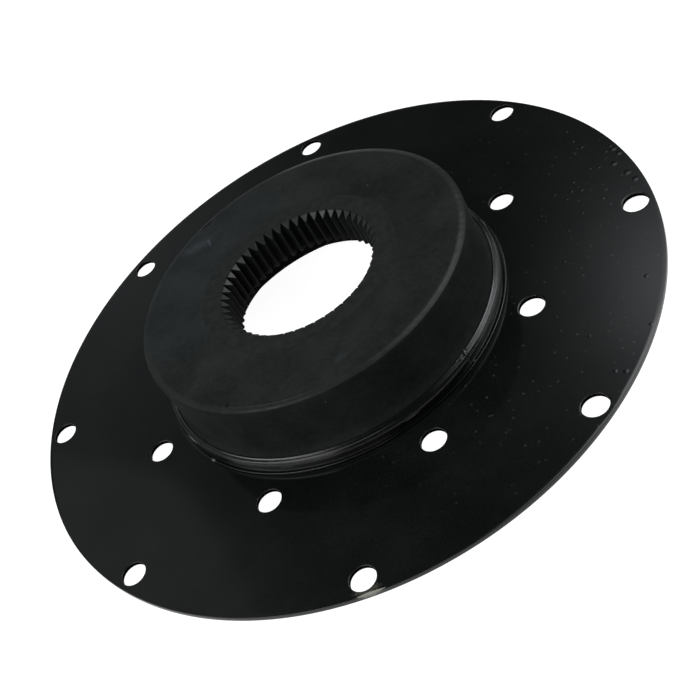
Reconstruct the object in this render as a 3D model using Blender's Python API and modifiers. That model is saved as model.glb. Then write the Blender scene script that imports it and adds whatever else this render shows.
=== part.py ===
"""Flywheel drive coupling: a steel flex plate with a bonded rubber hub and a splined sleeve.

Units are metres and +Z is up. The coupling lies on its back: the origin is at the centre of
the plate's rear face, and +Z is the axis that it turns on, towards the hub's open end.
"""
import math

import bmesh
import bpy

# Flange plate
plate_diameter = 0.3524
plate_thickness = 0.0024
plate_hole_diameter = 0.140
plate_edge_break = 0.0004
bolt_hole_diameter = 0.0134
bolt_hole_sides = 36
outer_bolt_count = 8
outer_bolt_edge_distance = 0.0095
inner_bolt_count = 8
inner_bolt_circle = 0.2240

# Hub: the rubber body and the sleeve end in one plane at this height above the floor
hub_height = 0.0450
hub_diameter = 0.1826
hub_waist_diameter = 0.1816
waist_height = 0.0120
rim_slope_width = 0.0042
rim_slope_drop = 0.0009
rim_radius = 0.0004
rubber_hole_diameter = 0.142
hollow_depth = 0.0152

# Base ring round the rubber's foot
ring_bore_diameter = 0.1850
ring_wall = 0.0038
ring_height = 0.0081
ring_top_fall = 0.0007
ring_corner_radius = 0.0007
ring_shoulder_inset = 0.0011
ring_lip_width = 0.0009
ring_lip_height = 0.0010
ring_groove_height = 0.0011
ring_groove_depth = 0.0010
foot_height = 0.0062

# Toothed sleeve
sleeve_diameter = 0.1090
tooth_count = 50
tooth_root_diameter = 0.0889
tooth_tip_diameter = 0.0810
tooth_flank_angle = math.radians(60.0)
tooth_length = 0.0206
lead_in_diameter = 0.0870
relief_diameter = 0.0938
sleeve_chamfer = 0.0005
sleeve_turn = math.radians(-2.2)

# Clearance that keeps bonded and seated faces from sharing a surface
seat_gap = 0.0003
turned_steps = 96
plate_steps = 120
arc_steps = 3
rim_steps = 3
side_steps = 5
hollow_steps = 5


def start_collection(name):
    """Return a new collection that is linked to the scene."""
    collection = bpy.data.collections.new(name)
    bpy.context.scene.collection.children.link(collection)
    return collection


def make_material(name, colour, roughness, metallic):
    """Return a Principled material with a plain colour."""
    material = bpy.data.materials.new(name)
    material.use_nodes = True
    shader = material.node_tree.nodes["Principled BSDF"]
    shader.inputs["Base Color"].default_value = (*colour, 1.0)
    shader.inputs["Roughness"].default_value = roughness
    shader.inputs["Metallic"].default_value = metallic
    material.diffuse_color = (*colour, 1.0)
    return material


def add_object(name, mesh, collection, material=None):
    """Link a mesh as a new object and give it its material."""
    piece = bpy.data.objects.new(name, mesh)
    collection.objects.link(piece)
    if material is not None:
        mesh.materials.append(material)
    return piece


def arc(centre, radius, start, end, steps=arc_steps):
    """Points of a rounded corner in the section plane, angles in degrees."""
    points = []
    for step in range(steps + 1):
        angle = math.radians(start + (end - start) * step / steps)
        points.append((centre[0] + radius * math.cos(angle), centre[1] + radius * math.sin(angle)))
    return points


def turned(name, section, steps, collection, material):
    """Turn a closed section about Z. Its points run down the outer side first."""
    mesh = bpy.data.meshes.new(name)
    count = len(section)
    points = [(radius, 0.0, height) for radius, height in section]
    mesh.from_pydata(points, [(i, (i + 1) % count) for i in range(count)], [])
    piece = add_object(name, mesh, collection, material)
    screw = piece.modifiers.new("Turn", "SCREW")
    screw.axis = "Z"
    screw.angle = 2.0 * math.pi
    screw.steps = steps
    screw.render_steps = steps
    screw.use_merge_vertices = True
    screw.merge_threshold = 0.00001
    screw.use_smooth_shade = False
    return piece


def cut(piece, cutter):
    """Take the cutter's shape out of the piece."""
    boolean = piece.modifiers.new("Cut " + cutter.name, "BOOLEAN")
    boolean.operation = "DIFFERENCE"
    boolean.solver = "EXACT"
    boolean.object = cutter


def hide_cutter(cutter):
    """Show a cutter as a wire only, and keep it out of renders."""
    cutter.hide_render = True
    cutter.display_type = "WIRE"


def smooth_by_angle(piece, angle):
    """Shade the finished piece smooth, with sharp edges past the angle."""
    depsgraph = bpy.context.evaluated_depsgraph_get()
    mesh = bpy.data.meshes.new_from_object(piece.evaluated_get(depsgraph))
    mesh.shade_smooth()
    mesh.set_sharp_from_angle(angle=angle)
    old_mesh = piece.data
    piece.modifiers.clear()
    piece.data = mesh
    mesh.name = piece.name
    bpy.data.meshes.remove(old_mesh)


def hole_cutters(collection):
    """One cutter mesh with a round bar for every bolt hole of both circles."""
    mesh = bmesh.new()
    bar_length = 3.0 * plate_thickness
    outer_bolt_circle = plate_diameter - 2.0 * outer_bolt_edge_distance
    circles = (
        (outer_bolt_count, outer_bolt_circle, 0.0),
        (inner_bolt_count, inner_bolt_circle, 0.5),
    )
    for count, circle, shift in circles:
        for index in range(count):
            angle = 2.0 * math.pi * (index + shift) / count
            bar = bmesh.ops.create_cone(
                mesh, cap_ends=True, segments=bolt_hole_sides, radius1=0.5 * bolt_hole_diameter,
                radius2=0.5 * bolt_hole_diameter, depth=bar_length)
            place = (0.5 * circle * math.cos(angle), 0.5 * circle * math.sin(angle),
                     0.5 * plate_thickness)
            bmesh.ops.translate(mesh, verts=bar["verts"], vec=place)
    data = bpy.data.meshes.new("bolt_hole_bars")
    mesh.to_mesh(data)
    mesh.free()
    cutter = add_object("bolt_hole_bars", data, collection)
    hide_cutter(cutter)
    return cutter


def flange_plate(collection, cutters, material):
    """Flat steel disc with its large centre hole and two circles of bolt holes."""
    outer = 0.5 * plate_diameter
    inner = 0.5 * plate_hole_diameter
    edge = plate_edge_break
    section = [
        (outer - edge, plate_thickness),
        (outer, plate_thickness - edge),
        (outer, edge),
        (outer - edge, 0.0),
        (inner, 0.0),
        (inner, plate_thickness),
    ]
    plate = turned("flange_plate", section, plate_steps, collection, material)
    cut(plate, hole_cutters(cutters))
    smooth_by_angle(plate, math.radians(30.0))


def ring_section():
    """Section of the base ring, from the top outer corner round to the top inner one."""
    corner = ring_corner_radius
    base = plate_thickness + seat_gap
    inner = 0.5 * ring_bore_diameter
    outer = inner + ring_wall
    shoulder = outer - ring_shoulder_inset
    inner_top = plate_thickness + ring_height
    shoulder_top = inner_top - ring_top_fall
    lip_top = base + ring_lip_height
    groove_top = lip_top + ring_groove_height
    belly = 0.5 * (shoulder_top + groove_top)
    section = arc((shoulder - corner, shoulder_top - corner), corner, 75.0, 15.0)
    section += [
        (outer - 0.3 * ring_shoulder_inset, belly + 0.3 * (shoulder_top - groove_top)),
        (outer, belly),
        (outer - 0.2 * ring_groove_depth, 0.5 * (belly + groove_top)),
        (outer - ring_groove_depth, groove_top),
        (outer - ring_groove_depth, lip_top),
        (outer + ring_lip_width, base + 0.6 * ring_lip_height),
        (outer + ring_lip_width, base),
        (inner, base),
    ]
    section += arc((inner + corner, inner_top - corner), corner, 180.0, 75.0)
    return section


def base_ring(collection, material):
    """Steel ring that stands on the plate round the rubber's foot."""
    ring = turned("base_ring", ring_section(), turned_steps, collection, material)
    smooth_by_angle(ring, math.radians(35.0))


def rim_curve():
    """End face of the rubber near its rim: flat, then falling away like a parabola."""
    edge = 0.5 * hub_diameter - rim_radius
    points = []
    for step in range(rim_steps):
        share = step / rim_steps
        points.append((edge - rim_slope_width * (1.0 - share),
                       hub_height - rim_slope_drop * share * share))
    return points


def side_curve():
    """Outer side of the rubber below its rim: a long soft curve in to the waist."""
    rim = 0.5 * hub_diameter
    waist = 0.5 * hub_waist_diameter
    top = hub_height - rim_slope_drop - rim_radius
    low = plate_thickness + waist_height
    points = []
    for step in range(1, side_steps + 1):
        share = step / side_steps
        bend = 0.5 - 0.5 * math.cos(math.pi * share)
        points.append((rim + (waist - rim) * bend, top + (low - top) * share))
    return points


def rubber_body(collection, material):
    """Moulded rubber ring, wide at its foot, hollow behind, bonded round the sleeve."""
    rim = 0.5 * hub_diameter
    waist = 0.5 * hub_waist_diameter
    bore = 0.5 * sleeve_diameter + seat_gap
    base = plate_thickness + seat_gap
    foot = 0.5 * ring_bore_diameter - seat_gap
    rim_height = hub_height - rim_slope_drop
    foot_top = plate_thickness + foot_height
    hollow_top = plate_thickness + hollow_depth
    hollow_radius = 0.5 * rubber_hole_diameter
    section = arc((rim - rim_radius, rim_height - rim_radius), rim_radius, 90.0, 0.0, 2)
    section += side_curve()
    section += [
        (waist, foot_top),
        (foot, foot_top - (foot - waist)),
        (foot, base),
        (hollow_radius, base),
    ]
    for step in range(1, hollow_steps):
        angle = math.radians(90.0 * step / hollow_steps)
        section.append((bore + (hollow_radius - bore) * math.cos(angle),
                        base + (hollow_top - base) * math.sin(angle)))
    section += [
        (bore, hollow_top),
        (bore, hub_height),
    ]
    section += rim_curve()
    body = turned("rubber_body", section, turned_steps, collection, material)
    smooth_by_angle(body, math.radians(35.0))


def groove_cutter(collection):
    """Star-shaped bar whose points cut the grooves between the teeth."""
    root = 0.5 * tooth_root_diameter
    half_pitch = math.pi / tooth_count
    half_flank = 0.5 * tooth_flank_angle
    reach = root * math.sin(half_pitch) / math.sin(half_flank + half_pitch)
    inner = math.hypot(root - reach * math.cos(half_flank), reach * math.sin(half_flank))
    bottom = hub_height - tooth_length - sleeve_chamfer
    mesh = bmesh.new()
    ring = bmesh.ops.create_circle(mesh, cap_ends=True, segments=2 * tooth_count, radius=root)
    for vertex in ring["verts"]:
        turn = round(math.atan2(vertex.co.y, vertex.co.x) / half_pitch)
        radius = root if turn % 2 == 0 else inner
        vertex.co.x = radius * math.cos(turn * half_pitch)
        vertex.co.y = radius * math.sin(turn * half_pitch)
        vertex.co.z = bottom
    grown = bmesh.ops.extrude_face_region(mesh, geom=mesh.faces[:])
    top = [item for item in grown["geom"] if isinstance(item, bmesh.types.BMVert)]
    bmesh.ops.translate(mesh, verts=top, vec=(0.0, 0.0, 2.0 * tooth_length))
    bmesh.ops.recalc_face_normals(mesh, faces=mesh.faces[:])
    data = bpy.data.meshes.new("tooth_grooves")
    mesh.to_mesh(data)
    mesh.free()
    cutter = add_object("tooth_grooves", data, collection)
    hide_cutter(cutter)
    return cutter


def toothed_sleeve(collection, cutters, material):
    """Sleeve with V-shaped teeth, a lead-in at the open end and a plain relief behind."""
    outer = 0.5 * sleeve_diameter
    tip = 0.5 * tooth_tip_diameter
    lead = 0.5 * lead_in_diameter
    relief = 0.5 * relief_diameter
    low = plate_thickness + hollow_depth
    tooth_end = hub_height - tooth_length
    section = [
        (outer, hub_height),
        (outer, low + sleeve_chamfer),
        (outer - sleeve_chamfer, low),
        (relief, low),
        (relief, tooth_end),
        (tip, tooth_end),
        (tip, hub_height - (lead - tip)),
        (lead, hub_height),
    ]
    sleeve = turned("toothed_sleeve", section, 2 * tooth_count, collection, material)
    cut(sleeve, groove_cutter(cutters))
    smooth_by_angle(sleeve, math.radians(20.0))
    sleeve.rotation_euler.z = sleeve_turn


def build():
    """Make the whole coupling."""
    for item in list(bpy.data.objects):
        bpy.data.objects.remove(item, do_unlink=True)
    pieces = start_collection("drive_coupling")
    cutters = start_collection("cutters")
    plate_paint = make_material("satin_black_paint", (0.012, 0.013, 0.013), 0.38, 0.0)
    ring_paint = make_material("gloss_black_paint", (0.014, 0.015, 0.015), 0.25, 0.0)
    rubber = make_material("moulded_rubber", (0.030, 0.032, 0.031), 0.75, 0.0)
    steel = make_material("blackened_steel", (0.035, 0.037, 0.036), 0.55, 0.6)
    flange_plate(pieces, cutters, plate_paint)
    base_ring(pieces, ring_paint)
    rubber_body(pieces, rubber)
    toothed_sleeve(pieces, cutters, steel)


build()
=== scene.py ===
# Flywheel drive coupling: finish of every surface, studio and camera
import math

import bpy
import numpy as np
from mathutils import Matrix, Vector


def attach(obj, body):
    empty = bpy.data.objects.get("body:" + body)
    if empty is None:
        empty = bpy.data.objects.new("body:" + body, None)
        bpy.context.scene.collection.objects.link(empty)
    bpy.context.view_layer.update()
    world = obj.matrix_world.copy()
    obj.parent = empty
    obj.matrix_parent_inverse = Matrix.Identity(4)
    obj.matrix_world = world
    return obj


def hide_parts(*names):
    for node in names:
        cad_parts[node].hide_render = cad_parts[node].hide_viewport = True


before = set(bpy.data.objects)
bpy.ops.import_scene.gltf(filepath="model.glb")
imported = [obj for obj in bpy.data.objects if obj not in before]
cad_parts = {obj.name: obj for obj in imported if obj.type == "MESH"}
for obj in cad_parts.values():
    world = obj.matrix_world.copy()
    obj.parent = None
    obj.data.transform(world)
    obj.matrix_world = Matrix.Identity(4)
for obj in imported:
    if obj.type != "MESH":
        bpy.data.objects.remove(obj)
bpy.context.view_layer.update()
mm = 0.001
tearSize = 1.1111  # mm, of the noise that makes the edge of every patch ragged


def linearColour(hexText):
    # sRGB hex to linear light, the usual two-part curve
    values = [int(hexText[i:i + 2], 16) / 255.0 for i in (1, 3, 5)]
    out = [v / 12.92 if v <= 0.04045 else ((v + 0.055) / 1.055) ** 2.4 for v in values]
    return (*out, 1.0)


def addNode(tree, kind, values=None, links=None, **settings):
    # one node with its settings, its socket values and what feeds each socket
    node = tree.nodes.new(kind)
    for key, value in settings.items():
        setattr(node, key, value)
    for key, value in (values or {}).items():
        node.inputs[key].default_value = value
    for key, source in (links or {}).items():
        tree.links.new(source, node.inputs[key])
    return node


def startMaterial(name):
    # empty material and its node tree
    material = bpy.data.materials.new(name)
    material.use_nodes = True
    material.node_tree.nodes.clear()
    return material, material.node_tree


def smoothNoise(angle, height, seed, waves, rise, count=24):
    # sum of a few sine waves round the turn and along the height, with seeded phases
    rng = np.random.default_rng(seed)
    total = np.zeros(np.broadcast(angle, height).shape)
    for _ in range(count):
        turns = rng.integers(waves[0], waves[1] + 1)
        lift = rng.uniform(-rise, rise)
        phase = rng.uniform(0.0, 2.0 * math.pi)
        total = total + np.sin(turns * angle + lift * height + phase)
    return total / math.sqrt(count)


def evenTurns(count):
    # angles of even steps round a full turn, from 0
    return np.arange(count) * 2.0 * math.pi / count


def bell(distance, width):
    # smooth bump: 1 in the middle, fading to 0 at about twice the width
    return np.exp(-(distance / width) ** 2)


def angleGap(angle, centre):
    # signed difference of two angles, wrapped to half a turn either way
    return (angle - centre + math.pi) % (2.0 * math.pi) - math.pi


def arcPoints(centre, radius, start, end, count):
    # points of a circle's arc in the section plane, degrees, both ends in
    angle = np.radians(np.linspace(start, end, count))
    return np.stack([centre[0] + radius * np.cos(angle), centre[1] + radius * np.sin(angle)], 1)


def linePoints(start, end, count):
    # evenly spaced points from start up to but not at the end
    share = np.linspace(0.0, 1.0, count, endpoint=False)[:, None]
    return np.array(start) * (1.0 - share) + np.array(end) * share


def meshFrom(name, points, faces, material):
    # object at the origin from whole arrays of points and quads
    mesh = bpy.data.meshes.new(name)
    mesh.vertices.add(len(points))
    mesh.vertices.foreach_set("co", np.asarray(points, dtype=np.float32).ravel())
    mesh.loops.add(faces.size)
    mesh.loops.foreach_set("vertex_index", faces.astype(np.int32).ravel())
    mesh.polygons.add(len(faces))
    mesh.polygons.foreach_set("loop_start", np.arange(0, faces.size, 4, dtype=np.int32))
    mesh.polygons.foreach_set("loop_total", np.full(len(faces), 4, dtype=np.int32))
    mesh.update(calc_edges=True)
    mesh.validate()
    mesh.shade_smooth()
    mesh.materials.append(material)
    piece = bpy.data.objects.new(name, mesh)
    bpy.context.scene.collection.objects.link(piece)
    return piece


def turnedPiece(name, radius, height, angle, material):
    # grid of section points by turn: x = radius cos(angle), y = radius sin(angle), z = height,
    # closed both ways, so the result is one ring-shaped skin
    rows, columns = radius.shape
    points = np.stack([radius * np.cos(angle), radius * np.sin(angle), height], 2) * mm
    index = np.arange(rows * columns).reshape(rows, columns)
    right = np.roll(index, -1, 1)
    below = np.roll(index, -1, 0)
    faces = np.stack([index, below, np.roll(below, -1, 1), right], 2).reshape(-1, 4)
    return meshFrom(name, points.reshape(-1, 3), faces, material)


def sectionNormals(section):
    # outward normal of a closed section that runs down its outer side first
    ahead = np.roll(section, -1, 0) - np.roll(section, 1, 0)
    normal = np.stack([-ahead[:, 1], ahead[:, 0]], 1)
    return normal / np.linalg.norm(normal, axis=1)[:, None]


def patternScale(size):
    # texture scale at which one lump or cell is as wide as the size in mm
    return 1.0 / (size * mm)


def patchMask(tree, place, centre, reach, turn, ragged, cover=1.0, soft=0.2):
    # cover inside an ellipsoid and 0 outside; noise makes its edge ragged and softness fades it
    local = addNode(tree, "ShaderNodeMapping",
                    {"Location": Vector(centre) * mm, "Rotation": (0.0, 0.0, math.radians(turn)),
                     "Scale": Vector(reach) * mm}, {"Vector": place}, vector_type="TEXTURE")
    away = addNode(tree, "ShaderNodeVectorMath", None, {0: local.outputs[0]}, operation="LENGTH")
    torn = addNode(tree, "ShaderNodeTexNoise", {"Scale": patternScale(tearSize), "Detail": 3.0},
                   {"Vector": place})
    edge = addNode(tree, "ShaderNodeMath", {1: ragged}, {0: torn.outputs[0], 2: away.outputs["Value"]},
                   operation="MULTIPLY_ADD")
    middle = 0.95 + 0.5 * ragged  # the noise is about 0.5 on average
    return addNode(tree, "ShaderNodeMapRange",
                   {"From Min": middle + soft, "From Max": middle - soft, "To Max": cover},
                   {"Value": edge.outputs[0]}, interpolation_type="SMOOTHSTEP").outputs[0]


def maskProduct(tree, *parts):
    # product of masks. A part is a mask, or a smooth step: its source, the places in mm where it
    # starts and ends, and the values there, which are 0 and 1 if left out
    product = None
    for part in parts:
        if isinstance(part, tuple):
            source, (start, end), low, high = (*part, 0.0, 1.0)[:4]
            part = addNode(tree, "ShaderNodeMapRange",
                           {"From Min": start * mm, "From Max": end * mm, "To Min": low, "To Max": high},
                           {"Value": source}, interpolation_type="SMOOTHSTEP").outputs[0]
        product = part if product is None else addNode(
            tree, "ShaderNodeMath", None, {0: product, 1: part}, operation="MULTIPLY").outputs[0]
    return product


def layColours(tree, colour, *layers):
    # lays colours over the first one in turn, each where its mask is 1
    for mask, hexText in layers:
        colour = addNode(tree, "ShaderNodeMix", {7: linearColour(hexText)}, {0: mask, 6: colour},
                         data_type="RGBA").outputs[2]
    return colour


def partPlaces(tree):
    # Object coordinates, the height in them and the distance from the hub's axis, all in metres
    place = addNode(tree, "ShaderNodeTexCoord").outputs["Object"]
    height = addNode(tree, "ShaderNodeSeparateXYZ", None, {0: place}).outputs[2]
    flat = addNode(tree, "ShaderNodeVectorMath", {1: (1.0, 1.0, 0.0)}, {0: place}, operation="MULTIPLY")
    radius = addNode(tree, "ShaderNodeVectorMath", None, {0: flat.outputs[0]}, operation="LENGTH")
    return place, height, radius.outputs["Value"]


# Black enamel sprayed on sheet steel: near black and glossy, so it shows dim shapes of the room,
# with dust caught in the film and a scrape to bare metal at the rim. Sizes are in mm
plateEnamel = {
    "colour": "#0a0b0b",
    "hazeColour": "#131615",
    "dustColour": "#343937",
    # painted shade: near black for the holes' walls
    "wallShadeColour": "#060606",
    "rubbedSheenColour": "#414240",
    "bareSteel": "#8f8e86",
    "scrapedSteel": "#3d3c36",
    "gloss": 0.72,
    "glossRoughness": 0.1,
    "hazeSize": 41.667,
    "mistSize": 1.3,
    "mistShare": 0.8,
    "hazeRange": (0.72, 1.14),
    "peelSize": 2.0,
    "peelDepth": 0.004,
    "dustSpacing": 6.0,
    "dustGrain": 1.1,
    "dustFilled": (0.6, 1.0),
    # where the holes' walls begin, seen from the top face, the bottom face and the rim
    "wallTop": (2.2, 1.9),
    "wallFoot": (0.03, 0.2),
    "wallWithin": (175.6, 175.2),
    # outer edge: rubbed thin, and lighter over the lower right as painted sheen
    "rubbedSheenRadius": (175.95, 176.15),
    "rubbedSheenHaze": 0.6,
    # patches: centre, half lengths, turn in degrees, raggedness, cover and softness
    "dustArea": ((104.0, -25.0, 2.4), (104.0, 135.0, 40.0), 0.0, 0.5, 1.0, 0.4),
    "rubbedSheenArea": ((172.0, -45.0, 1.2), (85.0, 105.0, 30.0), 0.0, 0.4, 1.0, 0.5),
    "scrape": ((2.9, -175.6, 1.8), (7.0, 0.75, 2.0), 1.0, 0.5),
    "scuff": ((1.0, -173.2, 2.4), (6.5, 2.0, 2.0), 1.0, 1.2),
}


def makePlateEnamel():
    # a faint broad haze, rare pale specks, scraped steel at the rim and a faint ripple in the gloss
    finish = plateEnamel
    material, tree = startMaterial("sprayedBlackEnamel")
    place, height, radius = partPlaces(tree)
    haze = addNode(tree, "ShaderNodeTexNoise", {"Scale": patternScale(finish["hazeSize"]), "Detail": 6.0,
                   "Roughness": 0.6}, {"Vector": place}).outputs[0]
    mist = addNode(tree, "ShaderNodeTexNoise", {"Scale": patternScale(finish["mistSize"]), "Detail": 3.0,
                   "Roughness": 0.7}, {"Vector": place}).outputs[0]
    both = addNode(tree, "ShaderNodeMath", {1: finish["mistShare"]}, {0: mist, 2: haze},
                   operation="MULTIPLY_ADD").outputs[0]
    low, high = finish["hazeRange"]
    hazy = addNode(tree, "ShaderNodeMapRange", {"From Min": low, "From Max": high}, {"Value": both}).outputs[0]
    colour = addNode(tree, "ShaderNodeMix", {6: linearColour(finish["colour"]),
                     7: linearColour(finish["hazeColour"])}, {0: hazy}, data_type="RGBA").outputs[2]
    # one speck in the middle of each filled cell
    cells = addNode(tree, "ShaderNodeTexVoronoi", {"Scale": patternScale(finish["dustSpacing"])},
                    {"Vector": place}, voronoi_dimensions="2D")
    grain = 0.5 * finish["dustGrain"] / finish["dustSpacing"]
    dot = addNode(tree, "ShaderNodeMapRange", {"From Min": 1.6 * grain, "From Max": 0.5 * grain},
                  {"Value": cells.outputs["Distance"]}, interpolation_type="SMOOTHSTEP").outputs[0]
    low, high = finish["dustFilled"]
    filled = addNode(tree, "ShaderNodeMapRange", {"From Min": low, "From Max": high},
                     {"Value": cells.outputs["Color"]}).outputs[0]
    speck = maskProduct(tree, dot, filled, patchMask(tree, place, *finish["dustArea"]))
    # the walls of the holes, between the two faces, got next to no film; their near-black colour is painted
    # shade
    wall = maskProduct(tree, (height, finish["wallTop"]), (height, finish["wallFoot"]),
                       (radius, finish["wallWithin"]))
    # the film is rubbed thin on the sheet's outer edge, unevenly; lighter over the lower right as painted
    # sheen
    wornSheen = addNode(tree, "ShaderNodeMapRange", {"From Max": finish["rubbedSheenHaze"]},
                   {"Value": maskProduct(tree, (radius, finish["rubbedSheenRadius"]), haze)}).outputs[0]
    rubbedSheen = maskProduct(tree, wornSheen, patchMask(tree, place, *finish["rubbedSheenArea"]))
    colour = layColours(tree, colour, (speck, finish["dustColour"]),
                        (patchMask(tree, place, *finish["scuff"]), finish["scrapedSteel"]),
                        (patchMask(tree, place, *finish["scrape"]), finish["bareSteel"]),
                        (wall, finish["wallShadeColour"]), (rubbedSheen, finish["rubbedSheenColour"]))
    ripple = addNode(tree, "ShaderNodeTexNoise", {"Scale": patternScale(finish["peelSize"]), "Detail": 2.0},
                     {"Vector": place}).outputs[0]
    peel = addNode(tree, "ShaderNodeBump", {"Strength": 0.5, "Distance": finish["peelDepth"] * mm},
                   {"Height": ripple}).outputs[0]
    film = addNode(tree, "ShaderNodeMapRange", {"To Min": finish["gloss"], "To Max": 0.0}, {"Value": wall})
    shader = addNode(tree, "ShaderNodeBsdfPrincipled",
                     {"Specular IOR Level": 0.0, "Roughness": 1.0, "Coat Roughness": finish["glossRoughness"]},
                     {"Base Color": colour, "Coat Weight": film.outputs[0], "Normal": peel,
                      "Coat Normal": peel})
    addNode(tree, "ShaderNodeOutputMaterial", None, {0: shader.outputs[0]})
    return material


# Black enamel brushed on the base ring: thick and wet-looking, so its corners carry long highlights
ringEnamel = {
    "colour": "#0a0b0b",
    "chipColour": "#9b9c98",
    "roughness": (0.16, 0.24),
    "specular": 0.5,
    "lumpSize": 4.0,
    "lumpDepth": 0.006,
    "lumpRange": (0.3, 0.7),
    # chips: centre mm, half lengths mm, turn in degrees, raggedness, cover and softness
    "chips": (((-72.0, -64.8, 3.2), (1.6, 0.7, 0.8), -48.0, 0.9, 0.5, 0.4),
              ((70.4, -65.6, 3.2), (0.8, 0.5, 0.8), 40.0, 0.9, 0.3, 0.4),
              ((68.6, -64.0, 10.2), (0.4, 1.5, 1.2), 40.0, 1.2, 0.4, 0.4)),
}


def makeRingEnamel():
    # glossy film that pools a little unevenly, with a few chips at the lip and at the nick
    finish = ringEnamel
    material, tree = startMaterial("brushedBlackEnamel")
    place = addNode(tree, "ShaderNodeTexCoord").outputs["Object"]
    lumps = addNode(tree, "ShaderNodeTexNoise", {"Scale": patternScale(finish["lumpSize"]), "Detail": 3.0},
                    {"Vector": place}).outputs[0]
    (low, high), (smooth, coarse) = finish["lumpRange"], finish["roughness"]
    rough = addNode(tree, "ShaderNodeMapRange",
                    {"From Min": low, "From Max": high, "To Min": smooth, "To Max": coarse}, {"Value": lumps})
    pooled = addNode(tree, "ShaderNodeBump", {"Strength": 0.25, "Distance": finish["lumpDepth"] * mm},
                     {"Height": lumps})
    base = addNode(tree, "ShaderNodeRGB")
    base.outputs[0].default_value = linearColour(finish["colour"])
    colour = layColours(tree, base.outputs[0], *((patchMask(tree, place, *chip), finish["chipColour"])
                                                 for chip in finish["chips"]))
    shader = addNode(tree, "ShaderNodeBsdfPrincipled", {"Specular IOR Level": finish["specular"]},
                     {"Base Color": colour, "Roughness": rough.outputs[0], "Normal": pooled.outputs[0]})
    addNode(tree, "ShaderNodeOutputMaterial", None, {0: shader.outputs[0]})
    return material


# Moulded rubber with a dry bloom: charcoal and matte, faintly clouded; the mould left its rim
# smoother, so the rim carries a soft sheen. Sizes are in mm
rubberFinish = {
    "colour": "#181a19",
    "bloomColour": "#262827",
    "cutShadeColour": "#050606",
    "scuffAndSheenColour": "#4c545b",
    "crumbColour": "#5a5c5a",
    "roughness": 0.85,
    "specular": 0.06,
    "coatRoughness": 0.26,
    "cloudSize": 26.0,
    "mottleSize": 2.6,
    "mottleShare": 0.6,
    "bloomRange": (0.6, 1.0),
    "grainSize": 0.9,
    "grainDepth": 0.03,
    "crumbSpacing": 9.091,
    "crumbFilled": (0.6, 0.8),
    "crumbReach": (0.05, 0.02),  # in shares of the spacing
    # the rim's sheen: its strength, its share inside the edge, and where it starts
    "rimCoat": 0.34,
    "edgeSheen": 0.08,
    "rimStart": (86.9, 88.8),
    "rimEnd": (91.0, 90.6),
    "rimHeight": (43.2, 43.7),
    # side that has been handled dull: direction, where it ends and the sheen left there
    "dullSide": ((-0.8, 0.6, 0.0), (66.0, 42.0), 0.15),
    # patches: centre, half lengths, turn in degrees, raggedness, cover and softness
    # the first patch, broad and faint over the upper left of the end face, is painted sheen; the rest are
    # scuffs
    "scuffsAndSheen": (((-58.0, 38.0, 45.0), (60.0, 66.0, 9.0), 0.0, 0.6, 0.08, 0.9),
               ((-57.1, 55.4, 45.0), (8.5, 3.2, 3.0), 13.0, 2.4, 0.22, 0.8),
               ((-50.3, 54.8, 45.0), (0.8, 3.6, 3.0), 12.0, 1.0, 0.4, 0.5),
               ((17.4, -73.8, 45.0), (3.2, 2.2, 3.0), 20.0, 2.4, 0.14, 0.8)),
    # painted shade: the slit and the pit are coloured near black
    "cutShades": (((-52.5, 70.4, 44.6), (4.6, 0.6, 3.0), 30.5, 0.5, 1.0, 0.3),
             ((-42.1, -75.9, 45.0), (1.2, 0.8, 3.0), 40.0, 0.6, 0.8, 0.3)),
}


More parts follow.
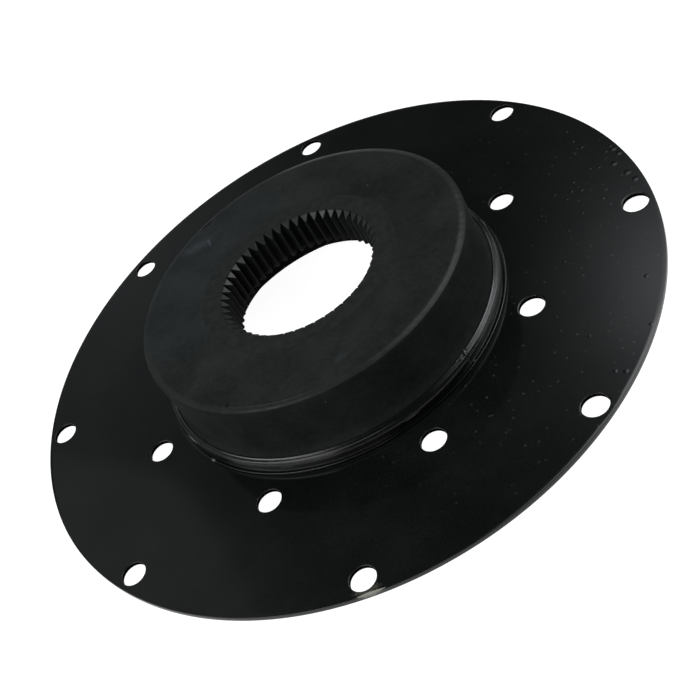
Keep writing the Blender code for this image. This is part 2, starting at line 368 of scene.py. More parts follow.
def makeRubber():
    # cloudy bloom over charcoal, fine mottle, scuffs, crumbs, a broad painted sheen, painted shade in the slit
    # and pit
    finish = rubberFinish
    material, tree = startMaterial("mouldedRubber")
    place, height, radius = partPlaces(tree)
    clouds = addNode(tree, "ShaderNodeTexNoise", {"Scale": patternScale(finish["cloudSize"]), "Detail": 6.0,
                     "Roughness": 0.6}, {"Vector": place}).outputs[0]
    mottle = addNode(tree, "ShaderNodeTexNoise", {"Scale": patternScale(finish["mottleSize"]), "Detail": 4.0,
                     "Roughness": 0.7}, {"Vector": place}).outputs[0]
    both = addNode(tree, "ShaderNodeMath", {1: finish["mottleShare"]}, {0: mottle, 2: clouds},
                   operation="MULTIPLY_ADD").outputs[0]
    low, high = finish["bloomRange"]
    bloom = addNode(tree, "ShaderNodeMapRange", {"From Min": low, "From Max": high}, {"Value": both})
    colour = addNode(tree, "ShaderNodeMix", {6: linearColour(finish["colour"]),
                     7: linearColour(finish["bloomColour"])}, {0: bloom.outputs[0]},
                     data_type="RGBA").outputs[2]
    cells = addNode(tree, "ShaderNodeTexVoronoi", {"Scale": patternScale(finish["crumbSpacing"])},
                    {"Vector": place})
    dot, filled = (addNode(tree, "ShaderNodeMapRange", {"From Min": low, "From Max": high},
                           {"Value": cells.outputs[name]}).outputs[0]
                   for name, (low, high) in (("Distance", finish["crumbReach"]),
                                             ("Color", finish["crumbFilled"])))
    scuffsAndSheen, cutShades = ([(patchMask(tree, place, *patch), finish[shade]) for patch in finish[name]]
                    for name, shade in (("scuffsAndSheen", "scuffAndSheenColour"), ("cutShades", "cutShadeColour")))
    crumbs = (maskProduct(tree, dot, filled), finish["crumbColour"])
    colour = layColours(tree, colour, *scuffsAndSheen, crumbs, *cutShades)
    side, dull, left = finish["dullSide"]
    along = addNode(tree, "ShaderNodeVectorMath", {1: side}, {0: place},
                    operation="DOT_PRODUCT").outputs["Value"]
    rim = maskProduct(tree, (radius, finish["rimStart"]), (height, finish["rimHeight"]),
                      (radius, finish["rimEnd"], finish["edgeSheen"], 1.0), (along, dull, left, 1.0))
    sheen = addNode(tree, "ShaderNodeMath", {1: finish["rimCoat"]}, {0: rim}, operation="MULTIPLY").outputs[0]
    grain = addNode(tree, "ShaderNodeTexNoise", {"Scale": patternScale(finish["grainSize"]), "Detail": 3.0},
                    {"Vector": place}).outputs[0]
    bump = addNode(tree, "ShaderNodeBump", {"Strength": 0.5, "Distance": finish["grainDepth"] * mm},
                   {"Height": grain}).outputs[0]
    shader = addNode(tree, "ShaderNodeBsdfPrincipled",
                     {"Specular IOR Level": finish["specular"], "Roughness": finish["roughness"],
                      "Coat Roughness": finish["coatRoughness"]},
                     {"Base Color": colour, "Coat Weight": sheen, "Normal": bump})
    addNode(tree, "ShaderNodeOutputMaterial", None, {0: shader.outputs[0]})
    return material


# Broached steel under a dull black oxide: dark grey teeth that glint at their lead-in, and an end
# face that the moulding has left as matte as the rubber. Sizes are in mm
sleeveFinish = {
    # the first two colours are the grooves' tones, darker than the end's and the cone's: painted shade in the
    # teeth
    "colour": "#0d0f0e",
    "shadedWornColour": "#171918",
    "openColour": "#1b1d1c",
    "openWornColour": "#282a29",
    # painted shade: near black for the plain relief deep in the bore
    "reliefShadeColour": "#050505",
    "roughness": 0.85,
    "reliefRoughness": 1.0,
    "specular": 0.06,
    "conePolish": 0.45,
    "groovePolish": 0.1,
    "coatRoughness": 0.3,
    "mottleSize": 5.0,
    "mottleRange": (0.3, 0.7),
    "grainSize": 0.7,
    "grainDepth": 0.02,
    # where the end face, the lead-in cone (radius less height) and the relief start
    "endHeight": (44.8, 44.95),
    "coneSpread": (-1.2, -1.36),
    "reliefHeight": (24.8, 24.3),
}


def makeSleeveSteel():
    # painted shade: darker in the grooves, near black in the plain relief below; lighter on the end and the
    # lead-in cone; the relief dull
    finish = sleeveFinish
    material, tree = startMaterial("blackOxideSteel")
    place, height, radius = partPlaces(tree)
    mottle = addNode(tree, "ShaderNodeTexNoise", {"Scale": patternScale(finish["mottleSize"]), "Detail": 5.0,
                     "Roughness": 0.65}, {"Vector": place}).outputs[0]
    low, high = finish["mottleRange"]
    shade = addNode(tree, "ShaderNodeMapRange", {"From Min": low, "From Max": high},
                    {"Value": mottle}).outputs[0]
    # the grooves get the darker pair of colours as painted shade, the end and the cone the lighter pair
    inside, outside = (addNode(tree, "ShaderNodeMix", {6: linearColour(finish[dark]),
                       7: linearColour(finish[light])}, {0: shade}, data_type="RGBA").outputs[2]
                       for dark, light in (("colour", "shadedWornColour"), ("openColour", "openWornColour")))
    # radius less height is the same all over the lead-in cone and larger in the grooves
    spread = addNode(tree, "ShaderNodeMath", None, {0: radius, 1: height}, operation="SUBTRACT").outputs[0]
    opened = addNode(tree, "ShaderNodeMath", None, {0: maskProduct(tree, (height, finish["endHeight"])),
                     1: maskProduct(tree, (spread, finish["coneSpread"]))}, operation="MAXIMUM").outputs[0]
    colour = addNode(tree, "ShaderNodeMix", None, {0: opened, 6: inside, 7: outside},
                     data_type="RGBA").outputs[2]
    relief = finish["reliefHeight"]
    # painted shade: the relief is laid near black
    colour = layColours(tree, colour, (maskProduct(tree, (height, relief)), finish["reliefShadeColour"]))
    # polished on the cone, less in the grooves, and not on the end or in the relief
    polish = maskProduct(tree, (spread, finish["coneSpread"], finish["groovePolish"], finish["conePolish"]),
                         (height, finish["endHeight"], 1.0, 0.0), (height, relief, 1.0, 0.0))
    rough = maskProduct(tree, (height, relief, finish["roughness"], finish["reliefRoughness"]))
    grain = addNode(tree, "ShaderNodeTexNoise", {"Scale": patternScale(finish["grainSize"]), "Detail": 2.0},
                    {"Vector": place}).outputs[0]
    bump = addNode(tree, "ShaderNodeBump", {"Strength": 0.35, "Distance": finish["grainDepth"] * mm},
                   {"Height": grain}).outputs[0]
    shader = addNode(tree, "ShaderNodeBsdfPrincipled",
                     {"Specular IOR Level": finish["specular"], "Coat Roughness": finish["coatRoughness"]},
                     {"Base Color": colour, "Roughness": rough, "Coat Weight": polish, "Normal": bump})
    addNode(tree, "ShaderNodeOutputMaterial", None, {0: shader.outputs[0]})
    return material


# Flange plate, all in millimetres
plate = {
    "radius": 176.2,
    "thickness": 2.4,
    "holeRadius": 70.0,
    "boltRadius": 6.7,
    "boltCount": 16,
    "outerCircle": 166.7,
    "innerCircle": 112.0,
    "edgeRound": 0.18,
    "boltEdgeRound": 0.25,
    "stepsPerHole": 40,
    "rows": 56,
    # patch round a bolt hole: half height in mm, half width in steps on each circle, and how far
    # each of its rings is from the patch's outline to the hole's circle
    "patchReach": 9.3,
    "outerPatchSteps": 6,
    "innerPatchSteps": 8,
    "patchShares": (0.35, 0.65, 0.85, 1.0),
    "wave": 0.05,
    "waveFade": 20.0,
}


def plateWave(x, y):
    # how far the sheet's face is off flat, mm, fading out at the rim
    away = np.hypot(x, y)
    turn = np.arctan2(y, x)
    fade = np.clip((plate["radius"] - away) / plate["waveFade"], 0.0, 1.0)
    return plate["wave"] * smoothNoise(turn, away, 5, (1, 5), 0.035) * fade


def strip(above, below):
    # quads between two closed loops of points
    return np.stack([above, below, np.roll(below, -1), np.roll(above, -1)], 1)


def makePlate(material):
    # flat faces from a polar grid with a square patch of cells left out round each bolt hole; each
    # patch runs from its square outline to the hole's circle in straight shares
    steps = plate["boltCount"] * plate["stepsPerHole"]
    edgeRound = plate["edgeRound"]
    radii = np.linspace(plate["holeRadius"] + edgeRound, plate["radius"] - edgeRound, plate["rows"] + 1)
    angle = evenTurns(steps)
    grid = np.stack([radii[:, None] * np.cos(angle), radii[:, None] * np.sin(angle)], 2)
    rows = len(radii)
    index = np.arange(rows * steps).reshape(rows, steps)
    keep = np.ones((rows - 1, steps), bool)
    flat = [grid.reshape(-1, 2)]
    total = rows * steps
    faces = []
    loops = []
    for hole in range(plate["boltCount"]):
        outer = hole % 2 == 0
        middle = plate["outerCircle"] if outer else plate["innerCircle"]
        half = plate["outerPatchSteps"] if outer else plate["innerPatchSteps"]
        low = int(np.abs(radii - (middle - plate["patchReach"])).argmin())
        high = rows - 1 if outer else int(np.abs(radii - (middle + plate["patchReach"])).argmin())
        columns = (hole * plate["stepsPerHole"] + np.arange(-half, half + 1)) % steps
        keep[low:high, :][:, columns[:-1]] = False
        ring = np.concatenate([
            index[low, columns[:-1]], index[low:high, columns[-1]],
            index[high, columns[:0:-1]], index[high:low:-1, columns[0]]])
        outline = flat[0][ring]
        turn = hole * 2.0 * math.pi / plate["boltCount"]
        centre = middle * np.array([math.cos(turn), math.sin(turn)])
        spoke = outline - centre
        spoke = spoke / np.linalg.norm(spoke, axis=1)[:, None]
        circle = centre + spoke * (plate["boltRadius"] + plate["boltEdgeRound"])
        before = ring
        for share in plate["patchShares"]:
            flat.append(outline * (1.0 - share) + circle * share)
            after = total + np.arange(len(ring))
            total += len(ring)
            faces.append(strip(before, after))
            before = after
        loops.append((before, centre, plate["boltRadius"], plate["boltEdgeRound"], -1.0))
    cells = np.stack([index[:-1], index[1:], np.roll(index[1:], -1, 1), np.roll(index[:-1], -1, 1)], 2)
    faces.append(cells[keep])
    flat = np.concatenate(flat)
    top = np.concatenate(faces)
    loops.append((index[-1], np.zeros(2), plate["radius"], edgeRound, 1.0))
    loops.append((index[0, ::-1], np.zeros(2), plate["holeRadius"], edgeRound, -1.0))
    wave = plateWave(flat[:, 0], flat[:, 1])
    points = [np.c_[flat, plate["thickness"] + wave], np.c_[flat, np.zeros(len(flat))]]
    everyFace = [top, top[:, ::-1] + len(flat)]
    count = 2 * len(flat)
    for loop, centre, radius, rounding, side in loops:
        # quarter round down from the top face, wall, quarter round in to the bottom face; the tilts
        # are degrees, and the wall lies between the two that are next to 0
        spoke = flat[loop] - centre
        spoke = spoke / np.linalg.norm(spoke, axis=1)[:, None]
        above = loop
        for tilt in (60.0, 30.0, 0.0, -0.001, -30.0, -60.0):
            reach = radius - side * rounding * (1.0 - math.cos(math.radians(tilt)))
            lift = rounding * math.sin(math.radians(abs(tilt)))
            height = plate["thickness"] - rounding + lift if tilt >= 0.0 else rounding - lift
            points.append(np.c_[centre + spoke * reach, np.full(len(loop), height)])
            below = count + np.arange(len(loop))
            count += len(loop)
            everyFace.append(strip(above, below))
            above = below
        everyFace.append(strip(above, loop + len(flat)))
    return meshFrom("flangePlate", np.concatenate(points) * mm, np.concatenate(everyFace), material)


# Blisters in the enamel, most of them near the rim on the right
blisters = {
    "rows": 7,
    "columns": 14,
    "tipShare": 0.02,  # radius of the small hole that stays open at the tip, in shares of the dome's
    "bed": 0.02,
    "sink": 0.2,
    "swell": 0.6,
    # x, y, radius and height in mm
    "places": ((166.6, 46.9, 2.6, 0.21), (168.4, 41.7, 2.3, 0.20), (164.1, 35.1, 2.5, 0.20),
               (168.6, 24.3, 2.6, 0.21), (170.9, 17.1, 2.4, 0.21), (152.1, 58.6, 1.8, 0.14),
               (149.0, 66.2, 1.7, 0.14), (147.7, 76.8, 1.6, 0.13), (147.2, 56.7, 1.4, 0.11),
               (141.8, 33.7, 1.6, 0.13), (139.3, 27.2, 1.5, 0.13), (135.7, 22.7, 1.4, 0.11),
               (144.4, 25.1, 1.7, 0.14), (140.8, 7.8, 1.4, 0.11), (152.9, 12.6, 1.6, 0.13),
               (152.2, 38.8, 1.4, 0.11), (156.5, 37.1, 1.5, 0.13), (131.6, -1.1, 1.3, 0.11),
               (162.7, 47.1, 1.5, 0.13), (165.8, 50.1, 1.6, 0.13), (135.2, -105.2, 1.9, 0.15),
               (130.7, -102.9, 1.7, 0.14), (158.3, -52.6, 1.7, 0.14), (152.5, -83.3, 1.5, 0.13),
               (113.0, -56.5, 1.3, 0.10), (112.8, -66.4, 1.3, 0.10), (124.8, -76.4, 1.5, 0.11),
               (120.9, 18.0, 1.5, 0.11), (122.0, 13.0, 1.3, 0.10), (124.6, -21.9, 1.4, 0.11),
               (147.7, 55.3, 1.4, 0.11)),
}


def makeBlisters(material):
    # domes z = height (1 - (rho / radius)^2)^2 on the sheet's face, each closed by a flat underside
    # and by a tiny tube from tip to underside
    x, y, reach, lift = (column[:, None, None] for column in np.array(blisters["places"]).T)
    tip = blisters["tipShare"]
    share = np.concatenate([np.linspace(tip, 1.0, blisters["rows"]), [1.0, tip]])[None, :, None]
    turn = evenTurns(blisters["columns"])[None, None, :]
    under = np.arange(share.shape[1])[None, :, None] >= blisters["rows"]
    dome = blisters["swell"] * lift * (1.0 - share ** 2) ** 2
    face = plate["thickness"] + plateWave(x, y) - blisters["bed"]
    height = face + np.where(under, -blisters["sink"], dome)
    points = np.stack(np.broadcast_arrays(x + reach * share * np.cos(turn),
                                          y + reach * share * np.sin(turn), height), 3)
    index = np.arange(points[..., 0].size).reshape(points.shape[:3])
    below = np.roll(index, -1, 1)
    faces = np.stack([index, below, np.roll(below, -1, 2), np.roll(index, -1, 2)], 3).reshape(-1, 4)
    return meshFrom("paintBlisters", points.reshape(-1, 3) * mm, faces, material)


# Base ring round the rubber's foot
ringShape = {
    "bore": 92.5,
    "outer": 96.3,
    "top": 10.5,
    "bead": 0.8,
    "beadCentre": 0.3,
    "landStart": (93.62, 10.09),
    "landEnd": (94.7, 9.76),
    "corner": 0.8,
    "cornerArc": (73.0, 30.0),
    "bellyHeight": 6.3,
    "foot": 2.7,
    "lipReach": 0.9,
    "lipHeight": 1.0,
    "lipRound": 0.25,
    "grooveHeight": 1.1,
    "grooveDepth": 1.0,
    "steps": 900,
    # film: its waves, and how far it is set in so that they stay inside the true outline
    "wave": 0.01,
    "inset": 0.06,
    # nick across the top, with a burr beside it and a torn edge on one side
    "nickAngle": -42.9,
    "nickDepth": 0.4,
    "burrHeight": 0.12,
    "tornDepth": 0.03,
}


def bendPoints(start, control, end, count):
    # points of a parabola arc that leaves start and reaches end along the lines to the control point
    share = np.linspace(0.0, 1.0, count)[:, None]
    return (1.0 - share) ** 2 * np.array(start) + 2.0 * share * (1.0 - share) * np.array(control) \
        + share ** 2 * np.array(end)


def makeRing(material):
    # turned section: a bead on the inner edge, a land that falls outward, a rounded corner, a bulged
    # side, a groove and a thin lip on the plate
    shape = ringShape
    inner, outer, foot = shape["bore"], shape["outer"], shape["foot"]
    bead, corner, belly = shape["bead"], shape["corner"], (outer, shape["bellyHeight"])
    beadMiddle = (inner + shape["beadCentre"], shape["top"] - bead)
    beadStart = math.degrees(math.acos(-shape["beadCentre"] / bead))
    arcStart, arcEnd = shape["cornerArc"]
    landEnd = np.array(shape["landEnd"])
    cornerMiddle = landEnd - arcPoints((0.0, 0.0), corner, arcStart, arcStart, 1)[0]
    lipTop = foot + shape["lipHeight"]
    lipEdge, lipRound = outer + shape["lipReach"], shape["lipRound"]
    grooveTop = lipTop + shape["grooveHeight"]
    grooveWall = outer - shape["grooveDepth"]
    turned = arcPoints(cornerMiddle, corner, arcStart, arcEnd, 9)
    # the side leaves the corner in the direction of its arc and is upright at the belly
    meet = turned[-1] + np.array([1.0, -math.tan(math.radians(90.0 - arcEnd))]) * (outer - turned[-1][0])
    # close rows keep the corners of the groove and the lip sharp
    section = np.concatenate([
        turned,
        bendPoints(turned[-1], meet, belly, 9)[1:],
        bendPoints(belly, (outer, grooveTop + 0.4), (grooveWall, grooveTop), 7)[1:],
        [(grooveWall, grooveTop - 0.05), (grooveWall, grooveTop - 0.12), (grooveWall, lipTop + 0.14),
         (grooveWall, lipTop + 0.05), (grooveWall + 0.04, lipTop)],
        linePoints((grooveWall + 0.1, lipTop), (lipEdge - lipRound, lipTop - 0.05), 4),
        arcPoints((lipEdge - lipRound, lipTop - 0.05 - lipRound), lipRound, 85.0, 0.0, 6),
        linePoints((lipEdge, foot), (inner, foot), 8),
        linePoints((inner, foot), (inner, beadMiddle[1]), 6),
        arcPoints(beadMiddle, bead, beadStart, 45.0, 10),
        linePoints(shape["landStart"], landEnd, 6),
    ])
    # closer steps round the nick, a little off the even ones
    near = np.radians(shape["nickAngle"] + 360.0 + np.linspace(-9.0, 3.0, 121) + 0.01)
    angle = np.sort(np.concatenate([evenTurns(shape["steps"]), near]))
    normal = sectionNormals(section)
    radius, height = section[:, 0:1], section[:, 1:2]
    lumps = shape["wave"] * smoothNoise(angle[None, :], height + radius, 11, (3, 24), 0.4)
    free = np.clip((height - foot) / 1.5, 0.0, 1.0)
    onTop = np.clip((height - grooveTop) / 3.0, 0.0, 1.0)
    # degrees from the nick, which runs across the ring at a slant
    gap = np.degrees(angleGap(angle, math.radians(shape["nickAngle"])))[None, :]
    across = radius - inner
    slant = gap + 0.5 * across
    burr = shape["burrHeight"] * bell(slant + 0.15, 0.2)
    nick = onTop * (burr - shape["nickDepth"] * bell(slant - 0.4, 0.22))
    rough = 1.0 + smoothNoise(angle[None, :], height * 2.0, 17, (90, 260), 3.0)
    beside = np.clip((gap + 8.0) / 5.0, 0.0, 1.0) * (gap < -0.8)
    torn = -shape["tornDepth"] * beside * bell(across - 1.2, 1.2) * onTop * rough
    shift = (lumps - shape["inset"]) * free + nick + torn
    radius, height = radius + normal[:, 0:1] * shift, height + normal[:, 1:2] * shift
    return turnedPiece("baseRing", radius, height, np.broadcast_to(angle, radius.shape), material)


# Rubber body
rubberShape = {
    "rim": 91.3,
    "waist": 90.8,
    "top": 45.0,
    "rimWidth": 4.2,
    "rimDrop": 0.9,
    "rimRound": 0.4,
    "waistHeight": 15.5,
    "footTop": 10.2,
    "foot": 92.3,
    "base": 2.7,
    "hollowRadius": 71.0,
    "hollowTop": 17.6,
    "bore": 54.51,
    "steps": 700,
    # low boss round the sleeve: depth past it, width, steepness of its edge and reach of the dip
    "collarSink": 0.9,
    "collarWidth": 1.7,
    "collarEdge": 0.55,
    "collarFade": 14.0,
    # height over which the end face is worked on
    "endFrom": 43.0,
    # skin: its waves, and how far it is set in so that they stay inside the true outline
    "slowWave": 0.05,
    "endWave": 0.018,
    "sideWave": 0.015,
    "inset": 0.1,
    # radius in mm and angle in degrees, then depth
    "slit": (87.8, 126.7, 0.9),
    "pit": (86.8, -119.0, 0.7),
}


def makeRubberBody(material):
    # turned section: flat end, rim that falls away, long soft waist, foot in the ring, hollow back
    shape = rubberShape
    top, bore, base, foot = shape["top"], shape["bore"], shape["base"], shape["foot"]
    rim, waist, rimRound = shape["rim"], shape["waist"], shape["rimRound"]
    waistHeight, footTop = shape["waistHeight"], shape["footTop"]
    hollowRadius, hollowTop = shape["hollowRadius"], shape["hollowTop"]
    rimTop = top - shape["rimDrop"]
    rimStart = rim - rimRound - shape["rimWidth"]
    sideTop = rimTop - rimRound
    share = np.linspace(0.0, 1.0, 22)[:, None]
    flare = np.linspace(0.0, 1.0, 10)
    hollow = np.radians(np.linspace(0.0, 90.0, 14))
    section = np.concatenate([
        arcPoints((rim - rimRound, sideTop), rimRound, 78.0, 0.0, 6),
        # side: radius rim to waist along half a cosine wave, then out to the foot along a parabola
        np.c_[rim + (waist - rim) * (0.5 - 0.5 * np.cos(math.pi * share[1:])),
              sideTop + (waistHeight - sideTop) * share[1:]],
        np.c_[waist + (foot - waist) * flare ** 2, waistHeight + (footTop - waistHeight) * flare][1:],
        linePoints((foot, footTop - 0.2), (foot, base), 5),
        linePoints((foot, base), (hollowRadius, base), 8),
        # hollow: a quarter of an ellipse
        np.c_[bore + (hollowRadius - bore) * np.cos(hollow), base + (hollowTop - base) * np.sin(hollow)][:-1],
        linePoints((bore, hollowTop), (bore, top - 0.02), 8),
        [(bore, top - 0.02), (bore + 0.02, top)],
        linePoints((bore + 0.06, top), (rimStart, top), 46),
        # rim: falls away along a parabola
        np.c_[rimStart + shape["rimWidth"] * share[:-1], top - shape["rimDrop"] * share[:-1] ** 2],
    ])
    angle = evenTurns(shape["steps"])
    normal = sectionNormals(section)
    radius, height = section[:, 0:1], section[:, 1:2]
    onEnd = height > shape["endFrom"]
    endFace = np.clip(height - shape["endFrom"], 0.0, 1.0) * np.clip((radius - bore - 0.5) / 3.0, 0.0, 1.0)
    sideFace = np.clip((height - 12.0) / 6.0, 0.0, 1.0) * (radius > 88.0)
    slow = shape["slowWave"] * smoothNoise(angle[None, :], radius, 23, (2, 9), 0.12)
    quick = smoothNoise(angle[None, :], radius, 29, (30, 120), 1.1)
    # low boss round the sleeve: the face drops past a wavy outline and comes back up further out
    contour = bore + shape["collarWidth"] + 0.6 * smoothNoise(angle[None, :], 0.0 * radius, 31, (2, 11), 0.0)
    edge = 1.0 + np.exp((contour - radius) / shape["collarEdge"])
    sink = shape["collarSink"] / edge * np.exp(-np.abs(radius - contour) / shape["collarFade"])
    shift = endFace * (slow + shape["endWave"] * quick - shape["inset"]) \
        - onEnd * (radius > bore + 0.03) * sink \
        + sideFace * (slow + shape["sideWave"] * quick - shape["inset"])
    # a slit along the rim and a small pit, both cut along the turn in mm
    slitRadius, slitAngle, slitDepth = shape["slit"]
    along = angleGap(angle, math.radians(slitAngle))[None, :] * radius
    slit = slitDepth * bell(along, 3.4) * bell(radius - slitRadius - 0.18 * along, 0.3)
    pitRadius, pitAngle, pitDepth = shape["pit"]
    along = angleGap(angle, math.radians(pitAngle))[None, :] * radius
    pit = pitDepth * bell(np.hypot(along, radius - pitRadius), 0.8)
    shift = shift - onEnd * (slit + pit)
    return turnedPiece("rubberBody", radius + normal[:, 0:1] * shift, height + normal[:, 1:2] * shift,
                       np.broadcast_to(angle, shift.shape), material)


# Toothed sleeve
sleeveShape = {
    "outer": 54.5,
    "top": 45.0,
    "bottom": 17.6,
    "teeth": 50,
    "root": 44.45,
    "tip": 40.5,
    "flank": 60.0,
    "toothEnd": 24.4,
    "lead": 43.5,
    "relief": 46.9,
    "chamfer": 0.5,
    "reliefChamfer": 0.3,
    "topRound": 0.02,
    "rootEase": 0.1,
    "turn": -2.2,
    "stepsPerTooth": 24,
}


def toothRadius(angle):
    # one V groove per pitch: a straight flank from the root in to the tip circle, corners eased
    shape = sleeveShape
    pitch = 2.0 * math.pi / shape["teeth"]
    offset = np.abs(angleGap(angle * shape["teeth"], 0.0)) / shape["teeth"]
    halfFlank = math.radians(0.5 * shape["flank"])
    # sine rule in the triangle axis, groove root, flank point
    straight = shape["root"] * math.sin(halfFlank) / np.sin(halfFlank + offset)
    eased = straight - shape["rootEase"] * bell(offset, 0.06 * pitch)
    return np.maximum(eased, shape["tip"])


def makeSleeve(material):
    # each row of the section has its own radius round the turn: the inner side takes the larger
    # of tooth, lead-in cone and relief, so the grooves run out through the cone
    shape = sleeveShape
    outer, top, bottom, lead = shape["outer"], shape["top"], shape["bottom"], shape["lead"]
    relief, toothEnd, tip = shape["relief"], shape["toothEnd"], shape["tip"]
    chamfer, inside, rounding = shape["chamfer"], shape["reliefChamfer"], shape["topRound"]
    coneEnd = top - (lead - tip)
    count = shape["teeth"] * shape["stepsPerTooth"]
    angle = evenTurns(count)
    tooth = toothRadius(angle)
    rim = np.maximum(tooth, lead)
    rows = [
        *arcPoints((outer - rounding, top - rounding), rounding, 90.0, 0.0, 4),
        *((outer, height) for height in np.linspace(top - 0.5, bottom + chamfer, 6)),
        (outer - chamfer, bottom), (relief + inside, bottom), (relief, bottom + inside), (relief, toothEnd),
        (np.maximum(tooth, tip + 0.4), toothEnd + 0.001),
        *((tooth, height) for height in np.linspace(toothEnd + 0.4, coneEnd, 8)),
        *((np.maximum(tooth, lead - (top - height)), height) for height in np.linspace(coneEnd, top, 16)[1:]),
        *((rim * (1.0 - share) + (outer - rounding) * share, top)
          for share in (0.12, 0.3, 0.5, 0.7, 0.88, 0.99)),
    ]
    radius = np.array([np.broadcast_to(row[0], count) for row in rows])
    height = np.array([np.full(count, row[1]) for row in rows])
    turn = np.broadcast_to(angle + math.radians(shape["turn"]), radius.shape)
    return turnedPiece("toothedSleeve", radius, height, turn, material)


# Studio. Directions are degrees round the part, azimuth from +X and elevation from the floor
studio = {
    "floorSize": 6.0,
    "floorDrop": 0.0005,
    "floorColour": "#9a9a9a",
    "floorGlow": 0.96,
    "ambient": 0.02,
    "domeRadius": 2.6,
    "domeGrid": (36, 144),
    "domeShade": 0.045,
    # name: azimuth, elevation, metres away, width and height in degrees, radiance, colour
    "lamps": {
        "rightBox": (12, 38, 1.7, 44, 22, 4.55, "#fafcff"),
        "leftBox": (222, 38, 1.1, 46, 24, 3.6, "#f8fffb"),
        "farLeftBox": (188, 38, 1.3, 20, 24, 2.6, "#f8fffb"),
        "frontBox": (266, 38, 1.6, 22, 22, 2.5, "#ffffff"),
        "lowLeftBox": (222, 14, 1.4, 60, 18, 1.3, "#ffffff"),
        "lowRightBox": (24, 14, 1.6, 66, 18, 1.6, "#f8fffb"),
        "backBox": (134, 13, 1.8, 84, 18, 0.35, "#ffffff"),
        "lowBackBox": (90, 14, 1.8, 30, 18, 0.45, "#ffffff"),
        "highRightBox": (56, 64, 1.6, 30, 26, 1.5, "#fafcff"),
        "highLeftBox": (190, 62, 1.4, 18, 18, 4.4, "#ffffff"),
    },
    # azimuth, elevation, spread and radiance of soft bright areas, seen only in the gloss
    "patches": ((66, 46, 9, 1.9), (70, 56, 7.5, 2.5), (78, 46, 9, 0.2), (83, 45, 4, 1.1), (156, 36, 9, 0.35),
                (140, 46, 9, 0.45), (126, 36, 9, 0.08), (116, 26, 9, 0.3)),
    "patchColour": "#f3f7fb",
    # outline of a dim card whose edge shows in the plate's far left, azimuth and elevation
    "cardEdge": ((130.2, 33.8), (127.8, 37.0), (125.8, 38.8), (124.9, 40.6), (125.0, 42.3), (125.6, 44.6),
                 (127.3, 47.5), (128.6, 50.2), (130.0, 54.0), (146.0, 58.0), (146.0, 33.0)),
    "cardDistance": 1.6,
    "cardShade": 0.3,
}


def spotAt(azimuth, elevation, distance):
    # point at an azimuth, an elevation and a distance from the part
    a, e = math.radians(azimuth), math.radians(elevation)
    return Vector((math.cos(e) * math.cos(a), math.cos(e) * math.sin(a), math.sin(e))) * distance


def lightShares(tree):
    # 1 for rays that show the backdrop as it is: camera, glossy and transmission rays
    path = addNode(tree, "ShaderNodeLightPath")
    share = path.outputs["Is Camera Ray"]
    for name in ("Is Glossy Ray", "Is Transmission Ray"):
        share = addNode(tree, "ShaderNodeMath", None, {0: share, 1: path.outputs[name]},
                        operation="MAXIMUM").outputs[0]
    return share


def makeWorld():
    # white backdrop for the camera and for reflections, plain dim light for everything else
    world = bpy.data.worlds.new("paleStudio")
    bpy.context.scene.world = world
    world.use_nodes = True
    tree = world.node_tree
    tree.nodes.clear()
    strength = addNode(tree, "ShaderNodeMapRange", {"To Min": studio["ambient"], "To Max": 1.0},
                       {"Value": lightShares(tree)})
    background = addNode(tree, "ShaderNodeBackground", {"Color": (1.0, 1.0, 1.0, 1.0)},
                         {"Strength": strength.outputs[0]})
    addNode(tree, "ShaderNodeOutputWorld", None, {0: background.outputs[0]})


def makeFloor():
    # pale floor that glows for the camera, so it reads as white paper with a faint shadow
    material, tree = startMaterial("palePaper")
    diffuse = addNode(tree, "ShaderNodeBsdfDiffuse", {"Color": linearColour(studio["floorColour"])})
    glow = addNode(tree, "ShaderNodeMath", {1: studio["floorGlow"]}, {0: lightShares(tree)},
                   operation="MULTIPLY")
    light = addNode(tree, "ShaderNodeEmission", None, {"Strength": glow.outputs[0]})
    both = addNode(tree, "ShaderNodeAddShader", None, {0: diffuse.outputs[0], 1: light.outputs[0]})
    addNode(tree, "ShaderNodeOutputMaterial", None, {0: both.outputs[0]})
    half, down = 0.5 * studio["floorSize"], -studio["floorDrop"]
    corners = np.array([(-half, -half, down), (half, -half, down), (half, half, down), (-half, half, down)])
    meshFrom("paperFloor", corners, np.array([[0, 1, 2, 3]]), material)


def hideFromLight(piece):
    # only reflections see it
    piece.visible_camera = False
    piece.visible_diffuse = False
    piece.visible_shadow = False
    piece.visible_transmission = False


def makeDome():
    # dark room round the set with a few soft bright areas: glow = shade + sum of bells of the angle
    material, tree = startMaterial("darkRoom")
    glow = addNode(tree, "ShaderNodeAttribute", attribute_name="glow")
    light = addNode(tree, "ShaderNodeEmission", {"Color": linearColour(studio["patchColour"])},
                    {"Strength": glow.outputs["Fac"]})
    addNode(tree, "ShaderNodeOutputMaterial", None, {0: light.outputs[0]})
    rows, columns = studio["domeGrid"]
    turn = evenTurns(columns)
    rise = np.radians(np.linspace(0.0, 89.0, rows))[:, None]
    points = np.stack([np.cos(rise) * np.cos(turn), np.cos(rise) * np.sin(turn),
                       np.broadcast_to(np.sin(rise), (rows, columns))], 2)
    index = np.arange(rows * columns).reshape(rows, columns)
    right = np.roll(index, -1, 1)
    faces = np.stack([index[:-1], index[1:], right[1:], right[:-1]], 2).reshape(-1, 4)
    dome = meshFrom("darkDome", points.reshape(-1, 3) * studio["domeRadius"], faces, material)
    shade = np.full((rows, columns), studio["domeShade"])
    for azimuth, elevation, spread, radiance in studio["patches"]:
        away = np.degrees(np.arccos(np.clip(points @ np.array(spotAt(azimuth, elevation, 1.0)), -1.0, 1.0)))
        shade = shade + radiance * bell(away, spread)
    glows = dome.data.attributes.new("glow", "FLOAT", "POINT")
    glows.data.foreach_set("value", shade.ravel().astype(np.float32))
    hideFromLight(dome)


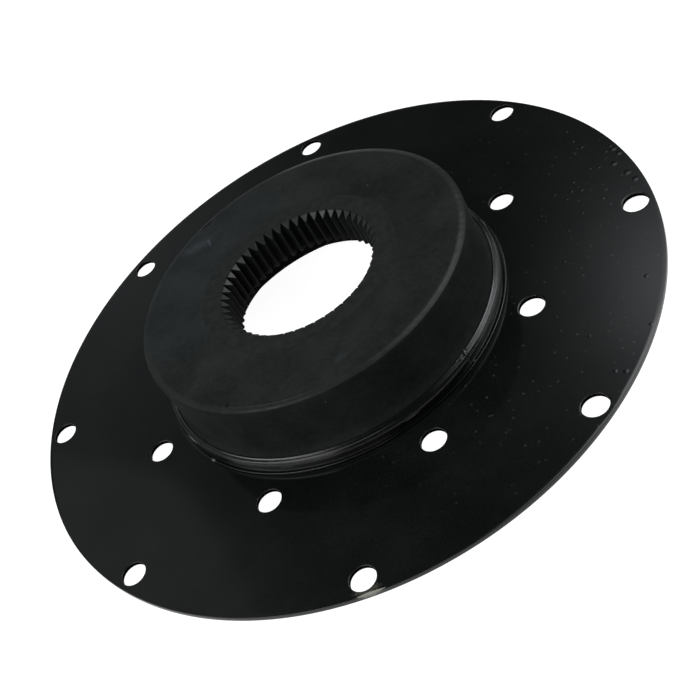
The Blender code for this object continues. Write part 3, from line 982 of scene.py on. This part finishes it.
def makeCard():
    # flat dim card with the given outline, as a fan of triangles
    material, tree = startMaterial("dimCard")
    light = addNode(tree, "ShaderNodeEmission", {"Strength": studio["cardShade"]})
    addNode(tree, "ShaderNodeOutputMaterial", None, {0: light.outputs[0]})
    mesh = bpy.data.meshes.new("dimCard")
    outline = [spotAt(azimuth, elevation, studio["cardDistance"]) for azimuth, elevation in studio["cardEdge"]]
    middle = sum(outline, Vector()) / len(outline)
    count = len(outline)
    mesh.from_pydata([middle, *outline], [], [(0, 1 + i, 1 + (i + 1) % count) for i in range(count)])
    mesh.materials.append(material)
    card = bpy.data.objects.new("dimCard", mesh)
    bpy.context.scene.collection.objects.link(card)
    hideFromLight(card)


def makeLamps():
    # each soft box is a rectangle that faces the part; its watts are pi times area times radiance
    for name, (azimuth, elevation, distance, wide, high, radiance, colour) in studio["lamps"].items():
        light = bpy.data.lights.new(name, "AREA")
        light.shape = "RECTANGLE"
        light.size = 2.0 * distance * math.tan(math.radians(0.5 * wide))
        light.size_y = 2.0 * distance * math.tan(math.radians(0.5 * high))
        light.energy = math.pi * light.size * light.size_y * radiance
        light.color = linearColour(colour)[:3]
        lamp = bpy.data.objects.new(name, light)
        lamp.location = spotAt(azimuth, elevation, distance)
        lamp.rotation_euler = (-lamp.location).to_track_quat("-Z", "Y").to_euler()
        lamp.visible_camera = False
        bpy.context.scene.collection.objects.link(lamp)


# Camera, solved from the plate's ellipse, its holes and the hub's rim in the 700 pixel photo
view = {
    "place": (0.15946, -0.51640, 0.43892),
    "forward": (-0.26792, 0.73018, -0.62853),
    "up": (0.35988, 0.68101, 0.63774),
    "lens": 67.34,
    "shift": (0.0883, 0.0072),
}


def makeCamera():
    # the frame's three axes stand in the columns of the rotation
    forward = Vector(view["forward"]).normalized()
    right = forward.cross(Vector(view["up"])).normalized()
    up = right.cross(forward)
    turn = Matrix((right, up, -forward)).transposed()
    data = bpy.data.cameras.new("photoCamera")
    data.lens = view["lens"]
    data.sensor_width = 36.0
    data.shift_x, data.shift_y = view["shift"]
    camera = bpy.data.objects.new("photoCamera", data)
    camera.matrix_world = Matrix.Translation(view["place"]) @ turn.to_4x4()
    bpy.context.scene.collection.objects.link(camera)
    bpy.context.scene.camera = camera


makeCamera()
print("camera placed")
finishes = {
    "plate_paint": makePlateEnamel(),
    "ring_paint": makeRingEnamel(),
    "moulded_rubber": makeRubber(),
    "sleeve_steel": makeSleeveSteel(),
}
pieces = (
    (makePlate, "flange_plate", "plate_paint"),
    (makeBlisters, None, "plate_paint"),
    (makeRing, "base_ring", "ring_paint"),
    (makeRubberBody, "rubber_body", "moulded_rubber"),
    (makeSleeve, "toothed_sleeve", "sleeve_steel"),
)
for makeShape, node, slot in pieces:
    piece = makeShape(finishes[slot])
    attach(piece, "root")
    if node:
        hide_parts(node)
    print(piece.name, "made with", len(piece.data.polygons), "faces")
makeWorld()
makeFloor()
makeDome()
makeCard()
makeLamps()
bpy.context.scene.view_settings.view_transform = "Standard"
print("studio lit")
